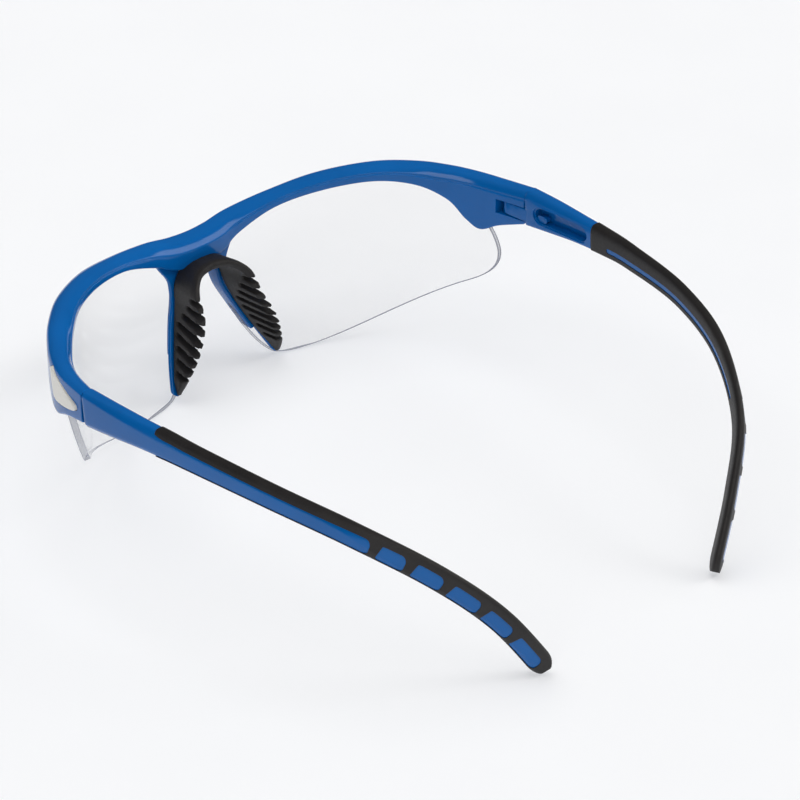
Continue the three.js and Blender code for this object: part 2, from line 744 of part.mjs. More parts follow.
function nosePad() {
  const right = padSections();
  const left = right.slice(0, -1).reverse().map((s) => s.map((p) => new THREE.Vector3(-p.x, p.y, p.z)));
  const saddle = toSolid(loft([...right, ...left]));
  const cuts = ribSlots();
  return saddle.subtract(cuts).subtract(toSolid(mirrored(toGeometry(cuts))));
}

// ---- Front frame ----
function frontFrame() {
  const arm = noseArm();
  const badgeSeat = badgePrism(TOUCH_GAP, -BADGE_THICKNESS - TOUCH_GAP, BADGE_THICKNESS * 5);
  const cuts = [lensSolid(TOUCH_GAP), hingePocket(), pinBore(), badgeSeat];
  let frame = browBar().add(arm).add(toSolid(mirrored(toGeometry(arm))));
  for (const cut of cuts) {
    frame = frame.subtract(cut).subtract(toSolid(mirrored(toGeometry(cut))));
  }
  return frame;
}

// ---- Scene ----
const gloss = () => new THREE.MeshStandardMaterial({ color: GLOSS_BLUE, roughness: 0.18, metalness: 0 });
const rubber = () => new THREE.MeshStandardMaterial({ color: RUBBER_BLACK, roughness: 0.65, metalness: 0 });
const clear = () => new THREE.MeshStandardMaterial({
  color: CLEAR_GREY, roughness: 0.03, metalness: 0, transparent: true, opacity: 0.35,
});
const silver = () => new THREE.MeshStandardMaterial({ color: SATIN_SILVER, roughness: 0.35, metalness: 0.3 });
const steel = () => new THREE.MeshStandardMaterial({ color: STEEL, roughness: 0.3, metalness: 1 });

const glasses = new THREE.Group();

function addPiece(name, geometry, material) {
  const mesh = new THREE.Mesh(geometry, material);
  mesh.name = name;
  glasses.add(mesh);
}

function addPair(name, solid, material) {
  const geometry = toGeometry(solid);
  addPiece(`right_${name}`, geometry, material());
  addPiece(`left_${name}`, mirrored(geometry), material());
}

addPiece('front_frame', toGeometry(frontFrame()), gloss());
addPiece('nose_pad', toGeometry(nosePad()), rubber());
addPair('lens', aboveTable(lensSolid(0)), clear);
addPair('badge', badgePrism(0, -BADGE_THICKNESS, BADGE_PROUD), silver);
addPair('hinge_pin', hingePin(), steel);
addPair('temple', templeCore(), gloss);
addPair('temple_grip', templeGrip(), rubber);

// The glasses are moved so that their box is centred over the origin, with the table at z = 0.
const box = new THREE.Box3().setFromObject(glasses);
const middle = box.getCenter(new THREE.Vector3());
glasses.position.set(0, -middle.y, -box.min.z);
const onTable = new THREE.Group();
onTable.add(glasses);

export default onTable;
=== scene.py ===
import math

import bpy
from mathutils import Matrix, Vector


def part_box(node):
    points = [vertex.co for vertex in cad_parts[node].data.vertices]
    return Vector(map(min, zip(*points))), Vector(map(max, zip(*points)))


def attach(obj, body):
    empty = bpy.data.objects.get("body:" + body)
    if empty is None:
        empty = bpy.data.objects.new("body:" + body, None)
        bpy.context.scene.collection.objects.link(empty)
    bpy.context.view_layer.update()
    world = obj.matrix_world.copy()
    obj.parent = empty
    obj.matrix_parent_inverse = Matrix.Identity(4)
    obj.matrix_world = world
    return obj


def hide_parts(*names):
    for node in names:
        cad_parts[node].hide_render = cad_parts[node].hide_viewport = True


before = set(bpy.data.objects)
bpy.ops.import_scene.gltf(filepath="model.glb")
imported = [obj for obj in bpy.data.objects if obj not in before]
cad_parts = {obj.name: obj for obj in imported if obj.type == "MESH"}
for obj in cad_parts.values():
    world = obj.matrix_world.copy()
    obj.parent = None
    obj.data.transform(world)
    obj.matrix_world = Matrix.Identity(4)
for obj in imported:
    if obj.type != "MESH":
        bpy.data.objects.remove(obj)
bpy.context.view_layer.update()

# Sports glasses with a glossy blue brow bar, clear lenses, a ribbed nose pad and folding temples.
# Shapes are worked out in millimetres with y counted from the hinge seam, and put into the frame's
# metres at the end. +X is the wearer's right, +Y ahead, +Z up.
MM = 0.001
SHARP_ANGLE = 38                 # degrees above which an edge stays sharp
PIN_AHEAD = 5.6                  # pin axis in front of the hinge seam
PIN_LOW_CORNER, PIN_HIGH_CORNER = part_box("right_hinge_pin")
PIN = (Vector(PIN_LOW_CORNER) + Vector(PIN_HIGH_CORNER)) / (2 * MM)
SEAM_Y = PIN.y - PIN_AHEAD         # the frame's y at the hinge seam, in millimetres


# ---- Meshes ----
def place(points):
    """Points in millimetres from the seam, moved into the frame in metres."""
    return [Vector((x, y + SEAM_Y, z)) * MM for x, y, z in points]


def mesh_object(name, points, faces, sharp_angle=SHARP_ANGLE):
    """A smooth-shaded object, from points in millimetres and faces of point numbers."""
    mesh = bpy.data.meshes.new(name)
    mesh.from_pydata(place(points), [], faces)
    mesh.validate()
    mesh.update()
    made = bpy.data.objects.new(name, mesh)
    bpy.context.scene.collection.objects.link(made)
    shade(made, sharp_angle)
    return made


def shade(obj, sharp_angle=SHARP_ANGLE):
    """Smooth shading, with the edges above an angle in degrees kept sharp."""
    obj.data.shade_smooth()
    obj.data.set_sharp_from_angle(angle=math.radians(sharp_angle))


def loft(name, sections, sharp_angle=SHARP_ANGLE):
    """A closed skin over a row of sections with the same number of points each."""
    count = len(sections[0])
    points = [point for section in sections for point in section]
    faces = []
    for i in range(len(sections) - 1):
        for j in range(count):
            after = (j + 1) % count
            a, b = i * count + j, i * count + after
            faces.append((a, b, b + count, a + count))
    faces.append(tuple(range(count))[::-1])
    faces.append(tuple(range((len(sections) - 1) * count, len(sections) * count)))
    made = mesh_object(name, points, faces, sharp_angle)
    outward(made)
    return made


def outward(obj):
    """Turns a closed mesh the right way out."""
    mesh = obj.data
    volume = 0.0
    mesh.calc_loop_triangles()
    for tri in mesh.loop_triangles:
        a, b, c = (mesh.vertices[i].co for i in tri.vertices)
        volume += a.dot(b.cross(c))
    if volume < 0:
        mesh.flip_normals()


def settle(obj):
    """Applies every modifier of an object."""
    graph = bpy.context.evaluated_depsgraph_get()
    graph.update()
    mesh = bpy.data.meshes.new_from_object(obj.evaluated_get(graph))
    obj.modifiers.clear()
    obj.data = mesh


def combine(obj, tool, operation="DIFFERENCE"):
    """Cuts or joins a tool object into obj and removes the tool."""
    step = obj.modifiers.new("cut", "BOOLEAN")
    step.operation = operation
    step.solver = "EXACT"
    step.object = tool
    settle(obj)
    bpy.data.objects.remove(tool)


def merge(name, objects):
    """One object out of several, with their material slots kept."""
    points, faces, slots, materials = [], [], [], []
    for obj in objects:
        start = len(points)
        points.extend(vertex.co.copy() for vertex in obj.data.vertices)
        table = []
        for material in obj.data.materials:
            if material not in materials:
                materials.append(material)
            table.append(materials.index(material))
        for face in obj.data.polygons:
            faces.append(tuple(start + i for i in face.vertices))
            slots.append(table[face.material_index] if table else 0)
        bpy.data.objects.remove(obj)
    mesh = bpy.data.meshes.new(name)
    mesh.from_pydata(points, [], faces)
    for material in materials:
        mesh.materials.append(material)
    mesh.polygons.foreach_set("material_index", slots)
    made = bpy.data.objects.new(name, mesh)
    bpy.context.scene.collection.objects.link(made)
    shade(made)
    return made


def mirror(obj, name):
    """A copy of obj across the middle plane."""
    mesh = obj.data.copy()
    mesh.transform(Matrix.Scale(-1, 4, (1, 0, 0)))
    mesh.flip_normals()
    made = bpy.data.objects.new(name, mesh)
    bpy.context.scene.collection.objects.link(made)
    return made


def in_one_material(name, parts, material):
    """Merges parts that are moulded as one."""
    for part in parts:
        part.data.materials.clear()
        part.data.materials.append(material)
    return merge(name, parts)


# ---- Curves and outlines ----
def row_reader(rows, mirrored=False):
    """Reads rows of numbers at any place from 0 on, smoothed; mirrored means that the rows carry on
    behind the first one as its mirror image, with the first column turned round."""
    def row(i):
        if i < 0 and mirrored:
            return [-rows[-i][0], *rows[-i][1:]]
        return rows[max(0, min(len(rows) - 1, i))]

    def read(where):
        i = min(len(rows) - 2, max(0, math.floor(where)))
        t = where - i
        before, start, end, after = row(i - 1), row(i), row(i + 1), row(i + 2)
        values = []
        for a, b, c, d in zip(before, start, end, after):
            rise, fall = (c - a) / 2, (d - b) / 2
            cubic = 2 * b - 2 * c + rise + fall
            square = -3 * b + 3 * c - 2 * rise - fall
            values.append(((cubic * t + square) * t + rise) * t + b)
        return values
    return read


def smooth_step(low, high, value):
    """0 up to low, 1 from high on, and an S-shaped rise between them."""
    t = max(0.0, min(1.0, (value - low) / (high - low)))
    return t * t * (3 - 2 * t)


def eased(corners, steps=4):
    """An outline with each corner (u, v, reach) replaced by a small curve that starts reach before it."""
    outline = []
    count = len(corners)
    for i, (u, v, reach) in enumerate(corners):
        here = Vector((u, v))
        back = Vector(corners[i - 1][:2]) - here
        ahead = Vector(corners[(i + 1) % count][:2]) - here
        first = here + back.normalized() * min(reach, back.length * 0.48)
        last = here + ahead.normalized() * min(reach, ahead.length * 0.48)
        for k in range(steps + 1):
            t = k / steps
            outline.append(first * (1 - t) ** 2 + here * (2 * t * (1 - t)) + last * t ** 2)
    return outline


def curved_outline(start, curves, steps):
    """A closed outline from a start point and quadratic curves (control, end), with a straight line back
    to the start if they end elsewhere."""
    points = []
    here = Vector(start)
    for control, end in curves:
        control, end = Vector(control), Vector(end)
        for k in range(steps):
            t = k / steps
            points.append(here * (1 - t) ** 2 + control * (2 * t * (1 - t)) + end * t ** 2)
        here = end
    if (here - Vector(start)).length > 1e-6:
        gap = Vector(start) - here
        points.extend(here + gap * (k / steps) for k in range(steps))
    return points


def evenly(points, count):
    """A closed outline with its points spread evenly along it."""
    lengths = [0.0]
    for i, point in enumerate(points):
        lengths.append(lengths[-1] + (points[(i + 1) % len(points)] - point).length)
    spread = []
    i = 0
    for k in range(count):
        wanted = lengths[-1] * k / count
        while lengths[i + 1] < wanted:
            i += 1
        share = (wanted - lengths[i]) / (lengths[i + 1] - lengths[i])
        spread.append(points[i].lerp(points[(i + 1) % len(points)], share))
    return spread


# ---- Lenses ----
LENS_RADIUS = 67.9               # middle of the lens shell
LENS_THICKNESS = 1.6
LENS_CENTRE = Vector((5.4, -18.7, 38.6))
LENS_EDGE_EASE = 0.16            # cut off both edges of the milled rim
LENS_POINTS = 220                # points round the outline
LENS_RINGS = 24                  # rings from the middle of a face to its outline
LENS_MIDDLE = Vector((36, 20))   # x and z inside the outline, where the rings start
# The outline in x and z, from the nasal side down and round: control point and end of each curve.
LENS_START = (6.4, 28.5)
LENS_CURVES = [
    ((6.4, 18.5), (10.2, 9.2)),
    ((13, 2.6), (16, 0.8)),
    ((18.4, -0.3), (23, 0.02)),
    ((40, 0.8), (60.4, 14.2)),
    ((65.6, 17.6), (66.0, 23.4)),
    ((66.2, 27.5), (64.9, 31)),
    ((63.4, 39.6), (55.5, 40.6)),
    ((40, 42.2), (24, 36.4)),
    ((14, 32.8), (9.4, 31.6)),
]


def lens_y(x, z):
    """y of the lens's middle surface."""
    across, rise = x - LENS_CENTRE.x, z - LENS_CENTRE.z
    return LENS_CENTRE.y + math.sqrt(LENS_RADIUS ** 2 - across ** 2 - rise ** 2)


def lens_point(x, z, out=0.0):
    """A point off the lens's middle surface by a distance square to it, never below the table."""
    point = Vector((x, lens_y(x, z), z))
    point += (point - LENS_CENTRE).normalized() * out
    return (point.x, point.y, max(point.z, 0.0))


def brow_lens_y(x):
    """y of the lens's middle surface at its equator, which the bar follows."""
    return lens_y(x, LENS_CENTRE.z)


def build_lens(name, clear, line, edge):
    """Rings of points from the middle of the front face out, over the milled rim and back in behind.
    clear is the material of both faces, line that of the rim's eased edges, edge that of the rim."""
    outline = evenly(curved_outline(LENS_START, LENS_CURVES, 16), LENS_POINTS)
    half, ease = LENS_THICKNESS / 2, LENS_EDGE_EASE
    shares = [k / LENS_RINGS for k in range(1, LENS_RINGS)]

    def ring(share, inset, out):
        points = []
        for point in outline:
            arm = point - LENS_MIDDLE
            arm = arm * share - arm.normalized() * inset
            points.append(lens_point(*(LENS_MIDDLE + arm), out))
        return points

    rings = [ring(share, 0, half) for share in shares]
    rings.append(ring(1, ease, half))
    rings.append(ring(1, 0, half - ease))
    rings.append(ring(1, 0, ease - half))
    rings.append(ring(1, ease, -half))
    rings.extend(ring(share, 0, -half) for share in reversed(shares))
    points = [point for one in rings for point in one]
    front = len(points)
    points.append(lens_point(*LENS_MIDDLE, half))
    points.append(lens_point(*LENS_MIDDLE, -half))
    rim_slots = {len(shares): 1, len(shares) + 1: 2, len(shares) + 2: 1}
    faces, slots = [], []
    for i in range(len(rings) - 1):
        for j in range(LENS_POINTS):
            a, b = i * LENS_POINTS + j, i * LENS_POINTS + (j + 1) % LENS_POINTS
            faces.append((a, b, b + LENS_POINTS, a + LENS_POINTS))
            slots.append(rim_slots.get(i, 0))
    last = (len(rings) - 1) * LENS_POINTS
    for j in range(LENS_POINTS):
        after = (j + 1) % LENS_POINTS
        faces.append((front, after, j))
        faces.append((front + 1, last + j, last + after))
        slots.extend((0, 0))
    made = mesh_object(name, points, faces, sharp_angle=30)
    for material in (clear, line, edge):
        made.data.materials.append(material)
    made.data.polygons.foreach_set("material_index", slots)
    outward(made)
    return made


# ---- Brow bar with its end lugs ----
HINGE_HALF_SPAN = 68.6           # centre of a temple's thickness at the hinge seam, from the middle
SEAM_GAP = 0.3                   # between the lug and the temple
TOUCH_GAP = 0.3                  # air left between pieces that touch
# From the middle to the seam: x and y of the bar's line, its top and bottom, how far it reaches in front
# of the line and behind it, and how much its lower front edge is cut away.
BROW_ROWS = [
    [0, 48.3, 36, 30.0, 2.4, 4.2, 0],
    [6, 48.6, 36.2, 29.2, 2.4, 4.2, 0],
    [13, brow_lens_y(13), 37.2, 31.9, 2.6, 3.6, 0],
    [24, brow_lens_y(24), 39, 35.8, 2.9, 3, 0],
    [36, brow_lens_y(36), 41.5, 38, 3.1, 2.8, 0],
    [47.5, brow_lens_y(47.5), 43.2, 39.4, 3.2, 2.8, 0],
    [55.5, brow_lens_y(55.5), 43.4, 38.4, 3.2, 2.8, 0.4],
    [60.6, brow_lens_y(60.6), 42.9, 34.9, 3.1, 2.6, 0.7],
    [63.4, brow_lens_y(63.4), 42.4, 29.8, 3, 2.4, 1.1],
    [HINGE_HALF_SPAN - 3.4, 12.9, 42.1, 27.7, 2.8, 2.3, 1.5],
    [HINGE_HALF_SPAN - 1.7, 7.6, 41.9, 30.2, 2.6, 2.2, 1.6],
    [HINGE_HALF_SPAN, SEAM_GAP / 2, 42.2, 32.8, 2.2, 2.2, 1.3],
]
LAST_ROW = len(BROW_ROWS) - 1
BROW_STEPS = 9                   # sections from one row to the next
brow_at = row_reader(BROW_ROWS, mirrored=True)


def brow_normal(where):
    """The bar's outward horizontal direction, which turns to +X at the seam."""
    x0, y0 = brow_at(max(0, where - 0.05))[:2]
    x1, y1 = brow_at(min(LAST_ROW, where + 0.05))[:2]
    normal = Vector((y0 - y1, x1 - x0)).normalized() if where > 0 else Vector((0, 1))
    return normal.lerp(Vector((1, 0)), smooth_step(LAST_ROW - 0.8, LAST_ROW, where)).normalized()


def brow_section(where):
    """The bar's section: a rounded top, a narrow groove along the rear face with a ledge under it, and a
    front whose upper edge is crisper at the lug."""
    x, y, top, bottom, front, back, chin = brow_at(where)
    normal = brow_normal(where)
    height = top - bottom
    ledge = min(2.6, height * 0.42)
    lug = smooth_step(LAST_ROW - 2.5, LAST_ROW - 0.6, where)
    groove = smooth_step(1.2, 3, where)
    corners = [
        (-back, bottom, 0.8),
        (-back, top - ledge - 0.15, 0.25),
        (-back + 0.32 * groove, top - ledge, 0.2),
        (-back + 0.28 * groove, top - ledge + 0.35, 0.4),
        (-back * 0.62, top - 0.8, 0.7),
        (-back * 0.2, top - 0.2, 0.8),
        (1.2, top, 0.9),
        (front - 0.5 + 0.22 * lug, top - 0.6 + 0.05 * lug, 0.9 - 0.5 * lug),
        (front, top - 1.7 + lug, 0.9 - 0.5 * lug),
        (front, bottom + chin + 0.2, 0.8),
        (front - 0.9, bottom + chin * 0.9, 0.8),
        (front - 2.2, bottom + chin * 0.4, 0.8),
    ]
    return [(x + normal.x * u, y + normal.y * u, z) for u, z in eased(corners)]


def shrunk(section, amount):
    """A section drawn in towards its middle by an amount in millimetres, to ease the seam's edge."""
    points = [Vector(point) for point in section]
    middle = sum(points, Vector((0, 0, 0))) / len(points)
    return [tuple(point + (middle - point).normalized() * amount) for point in points]


def flat_prism(name, outline, middle, height):
    """A plan outline pulled straight up, with its middle at a height."""
    return loft(name, [[(x, y, z) for x, y in outline] for z in (middle - height / 2, middle + height / 2)])


# ---- Badge plates in the lugs' outer faces ----
BADGE_ROW = LAST_ROW - 1         # place along the brow rows of the badge's own origin
# The outline as a distance ahead along the lug's face and a height.
BADGE_START = (6.7, 41)
BADGE_CURVES = [
    ((3.6, 39.8), (-5.5, 37.8)),
    ((-6.9, 36.9), (-5.4, 36)),
    ((0.1, 33.6), (4.3, 33.1)),
    ((6.4, 33), (6.7, 34.8)),
    ((7.6, 38.6), (7.5, 40.6)),
    ((7.3, 41.2), BADGE_START),
]
BADGE_POINTS = 72                # points round the outline
BADGE_THICKNESS = 0.7
BADGE_PROUD = 0.25               # the plate's face above the lug
BADGE_SEAT_GAP = TOUCH_GAP * 0.4


def badge_rings(insets):
    """Rings of points for (inset, height above the lug's face) pairs."""
    x, y, _, _, front = brow_at(BADGE_ROW)[:5]
    before, after = brow_at(BADGE_ROW - 0.05), brow_at(BADGE_ROW + 0.05)
    normal = Vector((before[1] - after[1], after[0] - before[0])).normalized()
    outline = evenly(curved_outline(BADGE_START, BADGE_CURVES, 12), BADGE_POINTS)
    rings = []
    for inset, rise in insets:
        ring = []
        for i, point in enumerate(outline):
            along = outline[(i + 1) % len(outline)] - outline[i - 1]
            side = Vector((along.y, -along.x)).normalized()
            u, z = point - side * inset
            depth = front + rise
            ring.append((x + normal.x * depth - normal.y * u, y + normal.y * depth + normal.x * u, z))
        rings.append(ring)
    return rings


def badge_seat():
    """Cuts the hollow that the badge sits in."""
    return loft("seat", badge_rings([
        (-BADGE_SEAT_GAP, -BADGE_THICKNESS - TOUCH_GAP),
        (-BADGE_SEAT_GAP, 3),
    ]))


def build_badge(name, material):
    """A plate with a softly domed edge."""
    made = loft(name, badge_rings([
        (0.06, -BADGE_THICKNESS),
        (0.06, BADGE_PROUD - 0.22),
        (0.12, BADGE_PROUD - 0.1),
        (0.26, BADGE_PROUD - 0.02),
        (0.4, BADGE_PROUD),
        (0.6, BADGE_PROUD + 0.02),
    ]), sharp_angle=50)
    made.data.materials.append(material)
    return made


# ---- Nose arms ----
# x and z of the lens's nasal edge, from the brow down.
ARM_ROWS = [
    [8.4, 32.5],
    [7.7, 27],
    [8.2, 21],
    [10.6, 15],
    [13.5, 8.3],
    [15.4, 4],
    [16.3, 1.8],
]
ARM_WIDTH = 2.6
ARM_BEHIND = 2.3                 # rear face behind the middle of the lens
ARM_AHEAD = 2.0                  # front face ahead of the middle of the lens
ARM_FLARE = 2.4                  # extra width where the arm leaves the brow
ARM_LIP = 1.0                    # wall past the lens's edge, which joins front and rear
FRONT_LIP_END = 8.5              # height where that wall stops


def build_arm(name, inner, outer, ahead, low_end, flare=0.0):
    """A strip down the lens's nasal edge, cut off level at its low end. It reaches from inner to outer
    across the edge, and flares on the lens's side where it runs out of the brow."""
    at = row_reader(ARM_ROWS)
    last = len(ARM_ROWS) - 1
    sections = []
    for i in range(last * 12 + 1):
        where = i / 12
        x, z = at(where)
        if z < low_end:
            break
        before, after = at(max(0, where - 0.1)), at(min(last, where + 0.1))
        side = Vector((before[1] - after[1], after[0] - before[0])).normalized()
        rounding = math.sqrt(max(0.12, 1 - max(0.0, where - last + 0.5) ** 2 * 3.4))
        wide = flare * (1 - smooth_step(0.1, 1.3, where))
        low, high = inner * rounding - wide * 0.2, (outer + wide) * rounding
        y = lens_y(x, z)
        corners = [(low, -ARM_BEHIND, 0.5), (high, -ARM_BEHIND, 0.5), (high, ahead, 0.35), (low, ahead, 0.35)]
        sections.append([(x + side.x * u, y + v, z + side.y * u) for u, v in eased(corners)])
    return loft(name, sections)


# ---- Hinge pocket and tongue ----
INNER_FACE = HINGE_HALF_SPAN - BROW_ROWS[LAST_ROW][5]
LUG_TURN = 0.2                   # radians that the tongue's round end is turned, as the lug is
TONGUE_THICKNESS = 3.1
TONGUE_SHIFT = 0.3               # tongue's middle inside the pin axis
TONGUE_HEIGHT = 3.4
TONGUE_MIDDLE = 35.8
TONGUE_ROOT = 1.2                # behind the seam, inside the temple
POCKET_HEIGHT = 3.8
POCKET_AHEAD = 2.5               # pocket's front wall in front of the pin axis
POCKET_SWING = 0.4               # room at the outer wall for the tongue's root corner to swing past
POCKET_REAR = 3                  # behind the seam, past the lug's end
POCKET_OPENING = 8               # past the lug's inner face


def tongue_outline():
    """The tongue's plan: round about the pin, and level with the lug's inner face."""
    radius = TONGUE_THICKNESS / 2
    points = []
    for i in range(17):
        angle = math.pi * (1 - i / 16) + LUG_TURN
        points.append((PIN.x - TONGUE_SHIFT + radius * math.cos(angle), PIN_AHEAD + radius * math.sin(angle)))
    root = INNER_FACE + 0.02
    points.append((root + TONGUE_THICKNESS, -TONGUE_ROOT))
    points.append((root, -TONGUE_ROOT))
    return points


def pocket_outline():
    """The pocket's plan, open on the inner side and at the seam."""
    wall = PIN.x - TONGUE_SHIFT + TONGUE_THICKNESS / 2 + TOUCH_GAP + POCKET_SWING
    return [
        (INNER_FACE - POCKET_OPENING, PIN_AHEAD + POCKET_AHEAD),
        (wall - 0.7, PIN_AHEAD + POCKET_AHEAD),
        (wall, PIN_AHEAD),
        (max(wall, INNER_FACE + TONGUE_THICKNESS + TOUCH_GAP), -POCKET_REAR),
        (INNER_FACE - POCKET_OPENING, -POCKET_REAR),
    ]


def build_front(name, material):
    """The brow bar with badge seats and hinge pockets cut in, and the nose arms."""
    right = [brow_section(i / BROW_STEPS) for i in range(LAST_ROW * BROW_STEPS)]
    right.append(brow_section(LAST_ROW - 0.04))
    right.append(shrunk(brow_section(LAST_ROW - 0.012), 0.08))
    right.append(shrunk(brow_section(LAST_ROW), 0.34))
    left = [[(-x, y, z) for x, y, z in section] for section in right[:0:-1]]
    bar = loft(name, left + right)
    for tool in (badge_seat(), flat_prism("pocket", pocket_outline(), TONGUE_MIDDLE, POCKET_HEIGHT)):
        turned = mirror(tool, "turned")
        combine(bar, tool)
        combine(bar, turned)
    half = ARM_WIDTH / 2
    rear = build_arm("arm_rear", -half, half, -LENS_THICKNESS / 2 - TOUCH_GAP, 0, ARM_FLARE)
    lip = build_arm("arm_lip", -half - ARM_LIP, -half + 0.2, ARM_AHEAD, FRONT_LIP_END)
    parts = [bar, rear, lip, mirror(rear, "arm_rear_left"), mirror(lip, "arm_lip_left")]
    return in_one_material(name, parts, material)


# ---- Temples ----
TEMPLE_REACH = 104               # how far back of the hinge seam the temple tip lies
TIP_INSET = 41.8                 # how far the tip bends in from the hinge
TIP_HEIGHT = 1.5                 # middle of the tip above the table
HINGE_HEIGHT = 37.6              # middle of the temple's height at the hinge seam
TIP_ROUNDING = 4.2
GRIP_START = 23.5                # length of bare temple before the rubber
GRIP_PROUD = 0.15                # rubber outside the hard outline
GRIP_PAST_TIP = 0.8
GRIP_ROUNDING = 4.6
BAR_PLACES = [51.3, 43, 34, 23.9, 13.5]    # rubber bars over the windows, from the tip
BAR_WIDTH = 1.9
WINDOW_START = GRIP_START - 1.0
WINDOW_END = 2.8                 # last window's end from the tip
WINDOW_ROUNDING = 1.5            # at a window's rear end
WINDOW_DEPTH = 1.35
WINDOW_TOP_WALL = 1.25           # rubber left above a window
WINDOW_LIP = 0.32                # rubber left below it
# Slots in the inner side, as start, end, height and depth.
HOLLOW_RIM = (3.0, 22.4, 5.4, 0.4)
HOLLOW = (3.5, 21.9, 4.4, 2.3)
HOLLOW_BOSS = (3.9, 7.2, 1.9, 2.4)
RUBBER_SLOT = (29.5, 92, 1.4, 0.7)
# From the seam to the tip: share of the reach, of the inset and of the drop, then thickness, height and
# how much the lower outer edge is cut away.
TEMPLE_ROWS = [
    [0, 0, 0, 4.4, 9.3, 2.2],
    [0.085, 0.004, -0.022, 4.3, 8.3, 2],
    [0.168, 0.014, -0.042, 4, 7.2, 1.6],
    [0.262, 0.03, -0.057, 3.6, 6.4, 1.2],
    [0.357, 0.053, -0.06, 3.2, 5.8, 0.9],
    [0.546, 0.133, -0.04, 2.9, 5.4, 0.8],
    [0.727, 0.288, 0.052, 2.9, 5.3, 0.8],
    [0.877, 0.522, 0.262, 2.9, 5.2, 0.8],
    [0.955, 0.77, 0.58, 2.9, 5.1, 0.8],
    [1, 1, 1, 2.9, 5, 0.8],
]
temple_row = row_reader(TEMPLE_ROWS)


def temple_point(where):
    """The temple's middle line at a place along its rows."""
    back, inset, drop = temple_row(where)[:3]
    return Vector((
        HINGE_HALF_SPAN - TIP_INSET * inset,
        -SEAM_GAP / 2 - TEMPLE_REACH * back,
        HINGE_HEIGHT - (HINGE_HEIGHT - TIP_HEIGHT) * drop,
    ))


def temple_stations():
    """Places along the temple with their length from the seam and axes that don't twist."""
    fine = 40
    last = len(TEMPLE_ROWS) - 1
    stations = []
    length, up = 0.0, Vector((0, 0, 1))
    for i in range(last * fine + 1):
        where = i / fine
        at = temple_point(where)
        along = (temple_point(min(last, where + 0.02)) - temple_point(max(0, where - 0.02))).normalized()
        if i == 0:
            along = Vector((0, -1, 0))
        else:
            length += (at - stations[-1]["at"]).length
        up = (up - along * up.dot(along)).normalized()
        stations.append({"where": where, "length": length, "at": at, "up": up, "out": up.cross(along)})
    return stations


STATIONS = temple_stations()
TEMPLE_LENGTH = STATIONS[-1]["length"]


def station_at(length):
    """The station at any length from the seam, with its thickness, height and chin."""
    wanted = max(0.0, min(TEMPLE_LENGTH, length))
    i = next(k for k, s in enumerate(STATIONS) if s["length"] >= wanted)
    a, b = STATIONS[max(0, i - 1)], STATIONS[max(1, i)]
    t = (wanted - a["length"]) / (b["length"] - a["length"])
    thickness, height, chin = temple_row(a["where"] + (b["where"] - a["where"]) * t)[3:]
    return {
        "at": a["at"].lerp(b["at"], t),
        "out": a["out"].lerp(b["out"], t).normalized(),
        "up": a["up"].lerp(b["up"], t).normalized(),
        "thickness": thickness, "height": height, "chin": chin,
    }


def on_station(station, outline):
    """An outline of (outwards, upwards) pairs, put square to the temple."""
    return [tuple(station["at"] + station["out"] * u + station["up"] * v) for u, v in outline]


def temple_corners(length, inset=0.0, share=1.0):
    """The temple's outline at a length. A crease runs down the outer side, from the top edge at the seam
    to below the middle: above it the side leans in, below it the side stands straight."""
    station = station_at(length)
    half = station["thickness"] / 2 - inset
    rise = (station["height"] / 2 - inset) * share
    crease_share = 0.86 - 0.55 * smooth_step(-8, GRIP_START + 6, length) - 0.8 * smooth_step(66, 92, length)
    crease = rise * crease_share
    lean = (rise - crease) * 0.33
    ridge = (2.1 - 1.2 * smooth_step(0, 45, length)) * share
    chin = (station["chin"] * 0.6 + 0.1) * share
    return station, [
        (-half, -rise, 0.8 * share),
        (-half, rise - ridge, 0.9 * share),
        (-half + ridge * 0.5, rise, 0.9 * share),
        (half - lean - 0.5, rise, 0.7 * share),
        (half - lean, rise - 0.5 * share, 0.5 * share),
        (half, crease, 0.3 * share),
        (half - 0.05, -rise + chin, 0.6 * share),
        (half - chin * 0.7, -rise, 0.6 * share),
    ]


def end_rounding(length, end, radius, least=0.02):
    """The share of the full size left at a length near a round end; least keeps the last section open."""
    past = max(0.0, length - (end - radius)) / radius
    return math.sqrt(max(least, 1 - past * past))


def lengths_between(start, end, step, rounded=0.0):
    """Places for sections about a step apart, closer together over a rounded end."""
    straight = end - rounded
    count = max(1, round((straight - start) / step))
    stops = [start + (straight - start) * i / count for i in range(count + 1)]
    if rounded:
        stops.extend(straight + rounded * math.sin(math.radians(a)) for a in range(8, 89, 8))
    return stops


def build_envelope(name, start, end, inset=0.0, rounded=0.0):
    """A solid with the temple's outline, its front edge eased and its rear end round."""
    ease_length = 0.3
    lengths = lengths_between(start, end, 1.0, rounded) + [start + 0.1, start + ease_length]
    sections = []
    for length in sorted(lengths):
        share = end_rounding(length, end, rounded) if rounded else 1.0
        ease = 0.34 * max(0.0, 1 - (length - start) / ease_length) ** 2
        station, corners = temple_corners(length, inset + ease, share)
        if share < 1:
            squeeze = 0.35 + 0.65 * share
            corners = [(u * squeeze, v, reach) for u, v, reach in corners]
        sections.append(on_station(station, eased(corners)))
    return loft(name, sections)


def window_ranges():
    """Start and end lengths of the windows between the rubber bars."""
    edges = [WINDOW_START]
    for distance in BAR_PLACES:
        middle = TEMPLE_LENGTH - distance
        edges.extend((middle - BAR_WIDTH / 2, middle + BAR_WIDTH / 2))
    edges.append(TEMPLE_LENGTH - WINDOW_END)
    return [(edges[i], edges[i + 1]) for i in range(0, len(edges), 2)]


